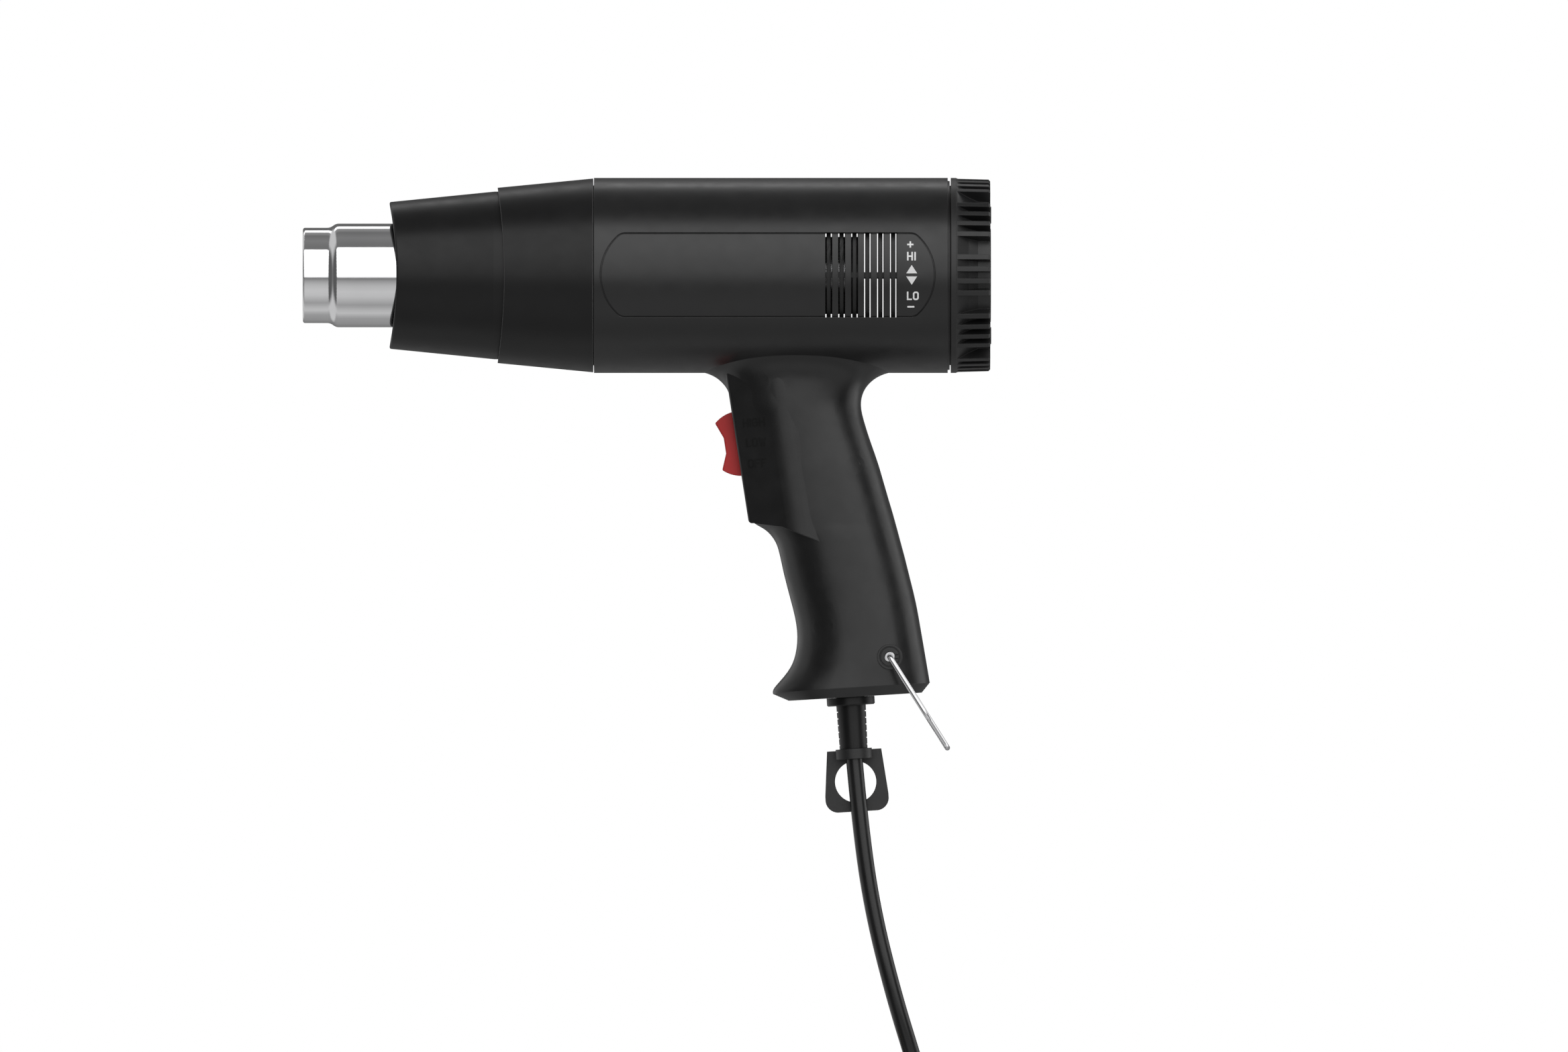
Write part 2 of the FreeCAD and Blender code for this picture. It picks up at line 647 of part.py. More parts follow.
def build_duct():
    """Sheet duct from the fan to the nozzle's flange."""
    parts["air_duct"] = turned([(-95.6, 24.4), (-80, 28.6), (-37, 28.6), (-37, 27.7), (-79.8, 27.7), (-95.6, 23.4)])


# ---------------------------------------------------------------- control and dial

def build_control():
    parts["control_board"] = tube_x(24.0, 25.6, 23.5, 3.0)
    case = rod_x(25.8, 31.6, 8.0).fuse(rod_x(31.5, 33.0, 4.2))
    parts["potentiometer"] = case.cut(rod_x(26.6, 34, 3.0 + RUNNING_GAP))
    parts["potentiometer_shaft"] = rod_x(27.0, 44.0, 3.0)
    sink = block(25.8, 33.0, -9.0, 9.0, AXIS_Z + 11.0, AXIS_Z + 13.0)
    for k in range(5):
        y = -8.6 + k * 4.05
        sink = sink.fuse(block(25.8, 33.0, y, y + 1.0, AXIS_Z + 12.5, AXIS_Z + 18.5))
    parts["heat_sink"] = sink
    parts["triac"] = block(25.8, 33.0, -5.0, 5.0, AXIS_Z + 8.6, AXIS_Z + 10.9)
    parts["capacitor"] = block(25.8, 32.6, -9.0, 9.0, AXIS_Z - 19.0, AXIS_Z - 12.0)


def groove_cutter(centre, width):
    """Wedge that scoops one flute, deepening to the rear, at an angle round the axis."""
    profile = [(DIAL_RING_END, BARREL_R), (44.0, 32.2), (47.4, GROOVE_FLOOR_R + 0.2),
               (DIAL_REAR + 1, GROOVE_FLOOR_R), (DIAL_REAR + 1, BARREL_R + 2), (DIAL_RING_END, BARREL_R + 2)]
    points = [V(x, 0, AXIS_Z + r) for x, r in profile]
    face = Part.Face(Part.makePolygon(points + points[:1]))
    face.rotate(V(0, 0, AXIS_Z), V(1, 0, 0), centre - width / 2)
    return face.revolve(V(0, 0, AXIS_Z), V(1, 0, 0), width)


def build_dial():
    body = turned([
        (DIAL_FRONT, BARREL_R), (DIAL_RING_END - 0.1, BARREL_R), (DIAL_RING_END, 34.85), (51.2, 34.55),
        (DIAL_REAR, 33.9), (DIAL_REAR, 17.0), (DIAL_REAR + 0.24, 16.6), (DIAL_REAR + 0.24, 0),
        (44.2, 0), (44.2, 3.0), (33.4, 3.0), (33.4, 13.0), (34.0, 13.2), (34.5, 13.2), (34.5, DIAL_HUB_R),
        (40.2, DIAL_HUB_R), (40.2, 13.0), (48.6, 14.0), (48.6, 27.4), (LIP_END, LIP_IN_R), (LIP_END, LIP_OUT_R),
        (DIAL_FRONT, LIP_OUT_R)])
    cutters = []
    for group in range(DIAL_GROUPS):
        turn = 360.0 / DIAL_GROUPS * group
        cutters.append(groove_cutter(turn + 180.0 / DIAL_GROUPS + 90, WIDE_GROOVE))
        for k in (-1, 0, 1):
            cutters.append(groove_cutter(turn + 90 + NARROW_PITCH * k, NARROW_GROOVE))
    pads = []
    seats = []
    for angle in (70, 110, 250, 290):
        y = 23.0 * math.cos(math.radians(angle))
        z = AXIS_Z + 23.0 * math.sin(math.radians(angle))
        seats.append(rod_x(DIAL_REAR - 1.0, DIAL_REAR + 1, 3.1, y, z))
        pads.append(rod_x(DIAL_REAR - 1.0, DIAL_REAR + 0.33, 3.0, y, z))
    parts["rear_dial"] = body.cut(cutters + seats)
    parts["dial_pads"] = Part.makeCompound(pads)


# ---------------------------------------------------------------- switch

def build_switch():
    depth = ROCKER_PIVOT_DEPTH

    def rim(x):
        return math.sqrt(ROCKER_R ** 2 - (x - depth) ** 2)

    top_out = V(-6.5, -ROCKER_HALF, rim(-6.5))
    top_in = V(5.4, -ROCKER_HALF, rim(5.4))
    low_out = V(-6.5, -ROCKER_HALF, -rim(-6.5))
    low_in = V(5.4, -ROCKER_HALF, -rim(5.4))
    dip_top = V(-4.25, -ROCKER_HALF, 2.8)
    dip_low = V(-4.25, -ROCKER_HALF, -2.8)
    edges = [
        Part.LineSegment(top_out, dip_top).toShape(),
        Part.LineSegment(dip_top, dip_low).toShape(),
        Part.LineSegment(dip_low, low_out).toShape(),
        Part.Arc(low_out, V(depth - 3.0, -ROCKER_HALF, -rim(depth - 3.0)), low_in).toShape(),
        Part.LineSegment(low_in, top_in).toShape(),
        Part.Arc(top_in, V(depth - 3.0, -ROCKER_HALF, rim(depth - 3.0)), top_out).toShape(),
    ]
    rocker = Part.Face(Part.Wire(edges)).extrude(V(0, 2 * ROCKER_HALF, 0))
    soft = []
    for edge in rocker.Edges:
        if edge.BoundBox.XMax < -4.0:
            soft.append(edge)
    rocker = rocker.makeFillet(0.6, soft)
    trunnions = rod_y(depth, 0, -TRUNNION_END, TRUNNION_END, TRUNNION_R)
    parts["rocker"] = on_face(rocker.fuse(trunnions))

    body = block(0.1, 21.0, -7.8, 7.8, -13.2, 13.2)
    body = body.cut(block(0.0, 2.1, -9, 9, -14, -12.0))
    body = body.cut(block(0.0, 2.1, -9, 9, 12.0, 14))
    body = body.cut(block(-1, 9.0, -ROCKER_HALF - 0.35, ROCKER_HALF + 0.35, -12.1, 12.1))
    body = body.cut(rod_y(depth, 0, -9, 9, TRUNNION_R + RUNNING_GAP))
    parts["switch_body"] = on_face(body)
    blades = []
    for z in (-8.0, 0.0, 8.0):
        blades.append(on_face(block(20.0, 27.0, -0.4, 0.4, z - 2.4, z + 2.4)))
    parts["switch_terminals"] = Part.makeCompound(blades)


# ---------------------------------------------------------------- stand

def stand_point(along, y):
    """Point of the stand, measured along its legs from the pivot."""
    angle = math.radians(STAND_ANGLE)
    return V(STAND_PIVOT.x + along * math.cos(angle), y, STAND_PIVOT.z - along * math.sin(angle))


def build_stand():
    half = [(0.0, STAND_PIN_END), (0.0, STAND_LEG_Y), (25.0, STAND_LEG_Y), (STAND_CROSSBAR, 9.0)]
    left = [stand_point(along, -y) for along, y in half]
    right = [stand_point(along, y) for along, y in reversed(half)]
    parts["wire_stand"] = round_tube(left + right, [PIVOT_BEND_R, 6.0, 5.0, 5.0, 6.0, PIVOT_BEND_R], STAND_WIRE_R)
    eyelets = []
    for side in (-1, 1):
        inner, outer = sorted((side * 13.0, side * EYELET_END))
        eyelet = rod_y(STAND_PIVOT.x, STAND_PIVOT.z, inner, outer, EYELET_R)
        bore = rod_y(STAND_PIVOT.x, STAND_PIVOT.z, inner - 1, outer + 1, STAND_WIRE_R + RUNNING_GAP)
        eyelets.append(eyelet.cut(bore))
    parts["stand_eyelets"] = Part.makeCompound(eyelets)


# ---------------------------------------------------------------- cord and what is on it

def build_boot():
    """Moulded strain relief: flange inside and outside the base, then a tapered sleeve with side slits."""
    profile = [(0, BOOT_INSIDE), (7.4, BOOT_INSIDE), (7.4, WALL + 0.2), (BOOT_R, WALL + 0.2), (BOOT_R, -0.1),
               (8.6, -0.1), (8.6, -2.6), (8.2, -3.0), (SLEEVE_TOP_R, -3.0), (SLEEVE_LOW_R, -COLLAR_NEAR),
               (4.85, -COLLAR_NEAR), (4.85, -COLLAR_END), (0, -COLLAR_END)]
    points = [V(r, 0, z) for r, z in profile]
    face = Part.Face(Part.makePolygon(points + points[:1]))
    boot = face.revolve(V(0, 0, 0), V(0, 0, 1), 360)
    for k in range(6):
        z = -5.2 - SLIT_PITCH * k
        for side in (-1, 1):
            near, far = sorted((side * (SLEEVE_LOW_R - SLIT_DEPTH), side * 7.0))
            boot = boot.cut(block(near, far, -6, 6, z - 0.2, z + 0.2))
    parts["strain_relief"] = on_boot(boot)


def build_hang_tab():
    """Ring round the boot's end with a flat tab behind the cord."""
    ring = Part.makeCylinder(6.5, COLLAR_END - COLLAR_NEAR, V(0, 0, -COLLAR_END))
    near = 4.3
    far = 6.5
    outline = [(-9.6, -19.1), (9.9, -19.1), (11.5, -35.2), (11.5, -41.2), (-11.2, -41.2), (-11.2, -35.2)]
    plate = prism_y(outline, near, far)
    corners = [e for e in plate.Edges if e.BoundBox.YLength > 2 and e.BoundBox.ZMax < -41]
    plate = plate.makeFillet(4.5, corners)
    plate = plate.cut(rod_y(0.0, -30.5, 0, 10, 7.4))
    bore = Part.makeCylinder(4.87, 30, V(0, 0, -30))
    parts["hang_tab"] = on_boot(ring.fuse(plate).cut(bore))


def cord_radii(points):
    """Arc radius at each inner point: a share of the shorter run, over tan of half the turn."""
    radii = []
    for before, corner, after in zip(points, points[1:], points[2:]):
        run_in = corner - before
        run_out = after - corner
        half_turn = run_in.getAngle(run_out) / 2
        radii.append(CORD_ARC_SHARE * min(run_in.Length, run_out.Length) / math.tan(half_turn))
    return radii


def build_cord():
    route = [V(*point) for point in CORD_ROUTE]
    radii = cord_radii(route)
    print("cord arc radii:", [round(r, 1) for r in radii])
    tube = round_tube(route, radii, CORD_R)
    expected = rounded_path(route, radii).Length * math.pi * CORD_R ** 2
    print("cord tube volume over section times length:", round(tube.Volume / expected, 4))
    parts["cord_tube"] = tube

    low = FLOOR_Z
    high = FLOOR_Z + COIL_HEIGHT
    profile = [(COIL_IN_R, low), (COIL_OUT_R, low), (COIL_OUT_R, high), (COIL_IN_R, high)]
    points = [V(COIL_X + r, COIL_Y, z) for r, z in profile]
    face = Part.Face(Part.makePolygon(points + points[:1]))
    coil = face.revolve(V(COIL_X, COIL_Y, 0), V(0, 0, 1), 360)
    parts["cord_coil"] = coil.makeFillet(2.8, [e for e in coil.Edges if e.isClosed()])

    tie = block(-4, 4, COIL_IN_R - 0.7, COIL_OUT_R + 0.7, FLOOR_Z + 0.1, high + 0.8)
    tie = tie.cut(block(-5, 5, COIL_IN_R + 0.3, COIL_OUT_R - 0.3, FLOOR_Z + 1.0, high - 0.2))
    tie.rotate(V(0, 0, 0), V(0, 0, 1), -30)
    tie.translate(V(COIL_X, COIL_Y, 0))
    parts["coil_tie"] = tie


def build_plug():
    """Moulded two-blade plug lying beside the coil, its blades towards -Y."""
    neck_length = 22.0
    body_length = 29.0
    body_half = 12.0
    front = neck_length + body_length - 1
    neck = Part.makeCone(3.6, 5.2, neck_length, V(0, 0, 0), V(0, -1, 0))
    body = block(-body_half, body_half, -front, 1 - neck_length, -7.6, 7.6)
    body = body.makeFillet(2.6, body.Edges)
    blades = []
    for x in (-6.35, 6.35):
        blades.append(block(x - 0.75, x + 0.75, -front - 17.0, -front + 1.0, -3.17, 3.17))
    place = V(COIL_X - COIL_TURN_R, COIL_Y - 15.0, PLUG_Z)
    plug = body.fuse(neck)
    plug.translate(place)
    pair = Part.makeCompound(blades)
    pair.translate(place)
    parts["plug_body"] = plug
    parts["plug_blades"] = pair


def build_inner_wiring():
    """Cord stub above the boot, its clamp, and leads to the switch and the control board."""
    stub_low = on_boot(Part.Vertex(0, 0, BOOT_INSIDE + 0.1)).Point
    stub = round_tube([stub_low, V(1.2, 0, -33), V(0.4, 0, -20), V(-0.4, 0, -4)], [60.0, 60.0], CORD_R)
    parts["inner_cord"] = stub
    bar = block(-7.5, 9.5, -8.0, -3.3, CLAMP_Z - 2.25, CLAMP_Z + 2.25)
    parts["cord_clamp"] = bar.cut([rod_y(x, CLAMP_Z, -12, 0, 1.3) for x in CLAMP_SCREWS])
    screws = []
    for x in CLAMP_SCREWS:
        screws.append(rod_y(x, CLAMP_Z, -8.2, 4.0, 1.2).fuse(rod_y(x, CLAMP_Z, -9.8, -8.1, 2.3)))
    parts["clamp_screws"] = Part.makeCompound(screws)
    lead_r = 1.1
    to_switch = [
        [V(-1.6, 0.2, -3.8), V(-4.0, 1.5, 12), V(-4.6, 1.0, 34), V(-10.9, 0, 41.9)],
        [V(0.9, -0.2, -3.8), V(-1.4, -3.0, 14), V(-4.6, -4.0, 40), V(-12.1, 0, 49.8)],
    ]
    leads = [round_tube(points, [12.0, 6.0], lead_r) for points in to_switch]
    up = [V(-13.3, 0, 57.8), V(-7.0, -2.0, 66.0), V(3.0, -3.0, 76.5), V(16.0, -4.0, 81.5), V(23.7, -4.0, 85.5)]
    leads.append(round_tube(up, [10.0, 10.0, 10.0], lead_r))
    parts["inner_leads"] = Part.makeCompound(leads)


def main():
    os.makedirs("parts", exist_ok=True)
    build_housing()
    build_guards()
    build_screws()
    build_shrouds()
    build_nozzle()
    build_heater()
    build_motor()
    build_motor_mount()
    build_fan()
    build_duct()
    build_control()
    build_dial()
    build_switch()
    build_stand()
    build_boot()
    build_hang_tab()
    build_cord()
    build_plug()
    build_inner_wiring()
    for name, shape in parts.items():
        sound = shape.isValid() and shape.Volume > 0
        print(name, len(shape.Solids), round(shape.Volume, 1), "" if sound else "NOT SOUND")
        shape.exportStep("parts/" + name + ".step")


main()
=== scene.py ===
import math

import bmesh
import bpy
from mathutils import Matrix, Vector
from mathutils.bvhtree import BVHTree


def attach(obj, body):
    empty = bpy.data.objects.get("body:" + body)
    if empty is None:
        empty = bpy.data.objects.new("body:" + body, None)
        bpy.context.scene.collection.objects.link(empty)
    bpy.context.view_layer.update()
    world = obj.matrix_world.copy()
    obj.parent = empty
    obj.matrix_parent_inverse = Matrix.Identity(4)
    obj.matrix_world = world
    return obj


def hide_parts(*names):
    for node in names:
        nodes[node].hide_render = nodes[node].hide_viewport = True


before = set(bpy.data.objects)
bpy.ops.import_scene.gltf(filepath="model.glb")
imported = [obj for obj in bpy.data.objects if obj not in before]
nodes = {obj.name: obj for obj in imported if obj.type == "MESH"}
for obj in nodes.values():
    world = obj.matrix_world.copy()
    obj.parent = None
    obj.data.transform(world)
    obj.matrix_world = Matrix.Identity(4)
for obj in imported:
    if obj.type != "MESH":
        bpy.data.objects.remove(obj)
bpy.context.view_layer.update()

MM = 0.001
AXIS_Z = 106.0 * MM
GUN = "gun"

# The camera stands far off with a long lens, level with the middle of the view, and looks along +Y
CAMERA_PLACE = (-0.0221, -15.62, 0.0161)
LENS_MM = 1000.0
SENSOR_MM = 36.0


# ------------------------------------------------------------------ camera

def make_camera():
    data = bpy.data.cameras.new("camera")
    data.lens = LENS_MM
    data.sensor_width = SENSOR_MM
    data.clip_start = 1.0
    data.clip_end = 100.0
    camera = bpy.data.objects.new("camera", data)
    bpy.context.scene.collection.objects.link(camera)
    camera.location = CAMERA_PLACE
    camera.rotation_euler = (math.radians(90), 0, 0)
    bpy.context.scene.camera = camera


make_camera()


# ------------------------------------------------------------------ materials

class Tree:
    """Short helper that adds nodes to a material and joins them."""

    def __init__(self, name):
        self.material = bpy.data.materials.new(name)
        self.material.use_nodes = True
        self.nodes = self.material.node_tree.nodes
        self.links = self.material.node_tree.links
        self.shader = self.nodes["Principled BSDF"]
        self.place = self.nodes.new("ShaderNodeTexCoord").outputs["Object"]

    def join(self, output, socket):
        self.links.new(output, socket)

    def noise(self, size, detail=3.0, stretch=(1, 1, 1)):
        """Noise whose features are about size metres across."""
        spread = self.nodes.new("ShaderNodeMapping")
        spread.inputs["Scale"].default_value = stretch
        self.join(self.place, spread.inputs["Vector"])
        texture = self.nodes.new("ShaderNodeTexNoise")
        texture.inputs["Scale"].default_value = 1.0 / size
        texture.inputs["Detail"].default_value = detail
        self.join(spread.outputs["Vector"], texture.inputs["Vector"])
        return texture.outputs["Fac"]

    def rerange(self, value, low, high, from_low=0.3, from_high=0.7):
        node = self.nodes.new("ShaderNodeMapRange")
        node.inputs["From Min"].default_value = from_low
        node.inputs["From Max"].default_value = from_high
        node.inputs["To Min"].default_value = low
        node.inputs["To Max"].default_value = high
        self.join(value, node.inputs["Value"])
        return node.outputs["Result"]

    def blend(self, factor, first, second):
        node = self.nodes.new("ShaderNodeMix")
        node.data_type = "RGBA"
        self.join(factor, node.inputs["Factor"])
        for socket, value in ((node.inputs["A"], first), (node.inputs["B"], second)):
            if isinstance(value, tuple):
                socket.default_value = (*value, 1.0)
            else:
                self.join(value, socket)
        return node.outputs["Result"]

    def edge_mask(self, radius, gain):
        """1 near edges, 0 on flat surfaces."""
        bevel = self.nodes.new("ShaderNodeBevel")
        bevel.samples = 4
        bevel.inputs["Radius"].default_value = radius
        geometry = self.nodes.new("ShaderNodeNewGeometry")
        dot = self.nodes.new("ShaderNodeVectorMath")
        dot.operation = "DOT_PRODUCT"
        self.join(bevel.outputs["Normal"], dot.inputs[0])
        self.join(geometry.outputs["Normal"], dot.inputs[1])
        return self.rerange(dot.outputs["Value"], gain, 0.0, 0.75, 1.0), bevel.outputs["Normal"]

    def bump(self, height, depth, normal=None, strength=1.0):
        node = self.nodes.new("ShaderNodeBump")
        node.inputs["Strength"].default_value = strength
        node.inputs["Distance"].default_value = depth
        self.join(height, node.inputs["Height"])
        if normal is not None:
            self.join(normal, node.inputs["Normal"])
        return node.outputs["Normal"]


# Sizes, in metres, of the slow changes of colour and of sheen over a moulded surface
CLOUD_SIZE = 0.018
SHEEN_SIZE = 0.006


def moulded(name, colour, roughness, grain=0.0006, grain_depth=0.000012, edge_rub_and_highlight=0.25, bevel=0.0004, spread=0.04,
            specular=0.5, rim=0.006):
    """Moulded plastic or rubber: fine grain, uneven sheen, and edges lightened in colour, partly rubbed and
    partly a painted highlight.

    grain is the size of the bumps and grain_depth their height, both in metres; edge_rub_and_highlight is how
    much the edges lighten, partly rubbed and partly a painted highlight, and rim how light they get; spread
    is how far the roughness wanders.
    """
    tree = Tree(name)
    shader = tree.shader
    shader.inputs["Specular IOR Level"].default_value = specular
    mask, soft_normal = tree.edge_mask(bevel, edge_rub_and_highlight)
    cloud = tree.noise(CLOUD_SIZE, 4.0)
    darker = tuple(c * 0.85 for c in colour)
    lighter = tuple(c * 1.15 for c in colour)
    body = tree.blend(tree.rerange(cloud, 0.0, 1.0), darker, lighter)
    # Edge colour: lighter along every edge, partly rubbed and partly a painted highlight.
    rubbed_and_highlit_edge = tuple(min(1.0, c * 2.2 + rim) for c in colour)
    tree.join(tree.blend(mask, body, rubbed_and_highlit_edge), shader.inputs["Base Color"])
    streak = tree.noise(SHEEN_SIZE, 5.0)
    tree.join(tree.rerange(streak, roughness - spread, roughness + spread), shader.inputs["Roughness"])
    texture = tree.noise(grain, 2.0)
    tree.join(tree.bump(texture, grain_depth, soft_normal), shader.inputs["Normal"])
    return tree.material


def polished(name, colour, roughness, brush=(1, 1, 1), brush_size=0.0012, depth=0.0000015, bevel=0.0003):
    """Plated or turned metal with faint lines from its making."""
    tree = Tree(name)
    shader = tree.shader
    shader.inputs["Metallic"].default_value = 1.0
    cloud = tree.noise(0.02, 4.0)
    darker = tuple(c * 0.94 for c in colour)
    tree.join(tree.blend(tree.rerange(cloud, 0.0, 1.0), darker, colour), shader.inputs["Base Color"])
    lines = tree.noise(brush_size, 3.0, brush)
    tree.join(tree.rerange(lines, roughness * 0.8, roughness * 1.3), shader.inputs["Roughness"])
    mask, soft_normal = tree.edge_mask(bevel, 0.0)
    tree.join(tree.bump(lines, depth, soft_normal), shader.inputs["Normal"])
    return tree.material


BLACK = (0.0062, 0.0062, 0.0064)
INK_BEVEL = 0.00002
plastic = moulded("housing_plastic", BLACK, 0.32, grain=0.0007, grain_depth=0.000008)
# The shroud's edges are painted light grey all round: a painted highlight along its rims and steps.
shroud_plastic = moulded("shroud_plastic", BLACK, 0.34, grain=0.0008, grain_depth=0.000008, edge_rub_and_highlight=1.0,
                         bevel=0.0005, specular=0.28, rim=0.16)
dial_plastic = moulded("dial_plastic", (0.0085, 0.0085, 0.0087), 0.40, grain=0.0007, edge_rub_and_highlight=0.3, bevel=0.0003)
inner_black = moulded("inner_black_plastic", (0.012, 0.012, 0.012), 0.5, grain=0.0009)
switch_black = moulded("switch_plastic", (0.010, 0.010, 0.010), 0.38, grain=0.0005, bevel=0.0003)
red = moulded("rocker_plastic", (0.44, 0.030, 0.030), 0.42, grain=0.0005, grain_depth=0.000006, edge_rub_and_highlight=0.12,
              bevel=0.0005, specular=0.22)
cord_rubber = moulded("cord_sheath", (0.0070, 0.0070, 0.0072), 0.26, grain=0.0010, grain_depth=0.000005,
                      edge_rub_and_highlight=0.1)
boot_rubber = moulded("boot_rubber", (0.0065, 0.0065, 0.0067), 0.34, grain=0.0008, grain_depth=0.000006,
                      specular=0.3)
tab_plastic = moulded("tab_plastic", (0.0105, 0.0105, 0.0108), 0.42, grain=0.0008)
pad_rubber = moulded("pad_rubber", (0.014, 0.014, 0.014), 0.6, grain=0.0006)
chrome = polished("nozzle_chrome", (0.80, 0.80, 0.81), 0.055, brush=(0.4, 8, 8))
wire_chrome = polished("wire_chrome", (0.80, 0.80, 0.81), 0.06, brush_size=0.004, depth=0.0000004)
plain_steel = polished("plain_steel", (0.55, 0.55, 0.56), 0.26, brush=(1, 6, 6))
dark_steel = polished("eyelet_steel", (0.50, 0.50, 0.51), 0.18)
sheet = polished("duct_sheet", (0.66, 0.66, 0.67), 0.32, brush=(1, 5, 5))
brass = polished("brass", (0.72, 0.55, 0.26), 0.24)
copper = polished("copper", (0.66, 0.33, 0.17), 0.30, brush=(6, 1, 1))
winding_wire = polished("winding_wire", (0.30, 0.25, 0.22), 0.45)
mica = moulded("mica", (0.46, 0.38, 0.27), 0.5, grain=0.0025, grain_depth=0.00002, edge_rub_and_highlight=0.1)
board = moulded("circuit_board", (0.02, 0.09, 0.035), 0.4, grain=0.002)
component = moulded("component_case", (0.03, 0.03, 0.034), 0.45)
ivory = moulded("inner_plastic", (0.36, 0.34, 0.29), 0.45)
white_ink = moulded("white_ink", (0.78, 0.78, 0.78), 0.5, grain=0.0004, edge_rub_and_highlight=0.0, bevel=INK_BEVEL)
black_ink = moulded("black_ink", (0.0035, 0.0035, 0.0035), 0.30, grain=0.0004, edge_rub_and_highlight=0.0, bevel=INK_BEVEL)
lead_sheath = moulded("lead_sheath", (0.30, 0.27, 0.20), 0.5)

LOOKS = {
    "housing_left": plastic, "housing_right": plastic, "finger_guard_left": inner_black,
    "finger_guard_right": inner_black, "housing_screws": plain_steel, "shroud_front": shroud_plastic,
    "shroud_rear": shroud_plastic, "nozzle_tube": chrome, "mica_lining": mica, "heater_board_upright": mica,
    "heater_board_flat": mica, "heater_winding": winding_wire, "heater_flange": plain_steel,
    "thermal_cutout": component, "motor_can": plain_steel, "motor_end_cap": component, "motor_bushes": brass,
    "motor_magnets": component, "armature": copper, "commutator": copper, "motor_shaft": plain_steel,
    "motor_mount": ivory, "fan": ivory, "air_duct": sheet, "control_board": board, "potentiometer": component,
    "potentiometer_shaft": plain_steel, "heat_sink": sheet, "triac": component, "capacitor": component,
    "rear_dial": dial_plastic, "dial_pads": pad_rubber, "rocker": red, "switch_body": switch_black,
    "switch_terminals": brass, "wire_stand": wire_chrome, "stand_eyelets": dark_steel,
    "strain_relief": boot_rubber, "hang_tab": tab_plastic, "plug_body": cord_rubber, "plug_blades": brass,
    "inner_cord": cord_rubber,
    "cord_clamp": ivory, "clamp_screws": plain_steel, "inner_leads": lead_sheath,
}
for name, look in LOOKS.items():
    data = nodes[name].data
    data.materials.clear()
    data.materials.append(look)


# ------------------------------------------------------------------ pieces

def add_piece(name, mesh_or_curve, material, body=GUN):
    piece = bpy.data.objects.new(name, mesh_or_curve)
    bpy.context.scene.collection.objects.link(piece)
    piece.data.materials.append(material)
    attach(piece, body)
    return piece


# Cord: the free stretch, then two layers of turns, then the plug
CORD_R = 3.0
ROUTE = [
    (3.10, 0, -67.40),
    (5.30, 0, -92.00),
    (9.70, 0, -122.00),
    (17.30, 0, -152.50),
    (25.20, 4.00, -178.00),
    (31.00, 14.00, -199.00),
    (35.00, 33.00, -211.00),
    (35.00, 54.00, -211.00),
]
COIL_CENTRE = (-9.0, 58.0)
LOW_LAYER = -211.0
HIGH_LAYER = -205.0
LAYERS = [
    (LOW_LAYER, [44.0, 38.0, 32.0, 26.0]),
    (HIGH_LAYER, [26.0, 32.0, 38.0, 44.0]),
]
POINTS_A_TURN = 16
PLUG_ENTRY = [(-53.0, 51.0, -205.2), (-53.0, 44.5, -206.2), (-53.0, 38.0, -206.4)]


def ease(value, start, end):
    t = min(1.0, max(0.0, (value - start) / (end - start)))
    return t * t * (3 - 2 * t)


def coil_points():
    """Turns run round from the +X side; each shifts by one diameter late in its turn."""
    points = []
    step = 360.0 / POINTS_A_TURN
    outward = 1.0 / math.cos(math.radians(step / 2))
    for layer, (z, radii) in enumerate(LAYERS):
        for turn, radius in enumerate(radii):
            last_turn = turn == len(radii) - 1
            following = radius if last_turn else radii[turn + 1]
            for k in range(POINTS_A_TURN):
                turned = (k + 0.5) * step
                if layer == 1 and last_turn and turned > 180:
                    break
                r = radius + (following - radius) * ease(turned, 280, 340)
                height = z
                if layer == 0 and last_turn:
                    height = z + (HIGH_LAYER - LOW_LAYER) * ease(turned, 235, 300)
                angle = math.radians(turned)
                points.append((COIL_CENTRE[0] + r * outward * math.cos(angle),
                               COIL_CENTRE[1] + r * outward * math.sin(angle), height))
    return points


def make_cord():
    curve = bpy.data.curves.new("cord", "CURVE")
    curve.dimensions = "3D"
    curve.bevel_depth = CORD_R * MM
    curve.bevel_resolution = 8
    curve.resolution_u = 8
    curve.use_fill_caps = True
    points = ROUTE + coil_points() + PLUG_ENTRY
    spline = curve.splines.new("NURBS")
    spline.points.add(len(points) - 1)
    for point, place in zip(spline.points, points):
        point.co = (place[0] * MM, place[1] * MM, place[2] * MM, 1.0)
    spline.order_u = 3
    spline.use_endpoint_u = True
    return add_piece("cord", curve, cord_rubber)


# Strap round the coil: its section in the coil's radius and height, its width, and where it stands
STRAP_INNER = 22.7
STRAP_OUTER = 47.5
STRAP_LOW = -213.2
STRAP_HIGH = -201.7
STRAP_CORNER = 3.6
STRAP_HALF = 4.0
STRAP_MIDDLE = 35.1
STRAP_BULGE = 0.25
STRAP_THICKNESS = 0.7
STRAP_DEGREES = 60


def strap_outline():
    """Rounded rectangle round the coil's section."""
    corners = ((STRAP_OUTER - STRAP_CORNER, STRAP_HIGH - STRAP_CORNER, 0),
               (STRAP_INNER + STRAP_CORNER, STRAP_HIGH - STRAP_CORNER, 90),
               (STRAP_INNER + STRAP_CORNER, STRAP_LOW + STRAP_CORNER, 180),
               (STRAP_OUTER - STRAP_CORNER, STRAP_LOW + STRAP_CORNER, 270))
    outline = []
    for centre_r, centre_z, start in corners:
        for k in range(7):
            angle = math.radians(start + 15 * k)
            outline.append((centre_r + STRAP_CORNER * math.cos(angle),
                            centre_z + STRAP_CORNER * math.sin(angle)))
    return outline


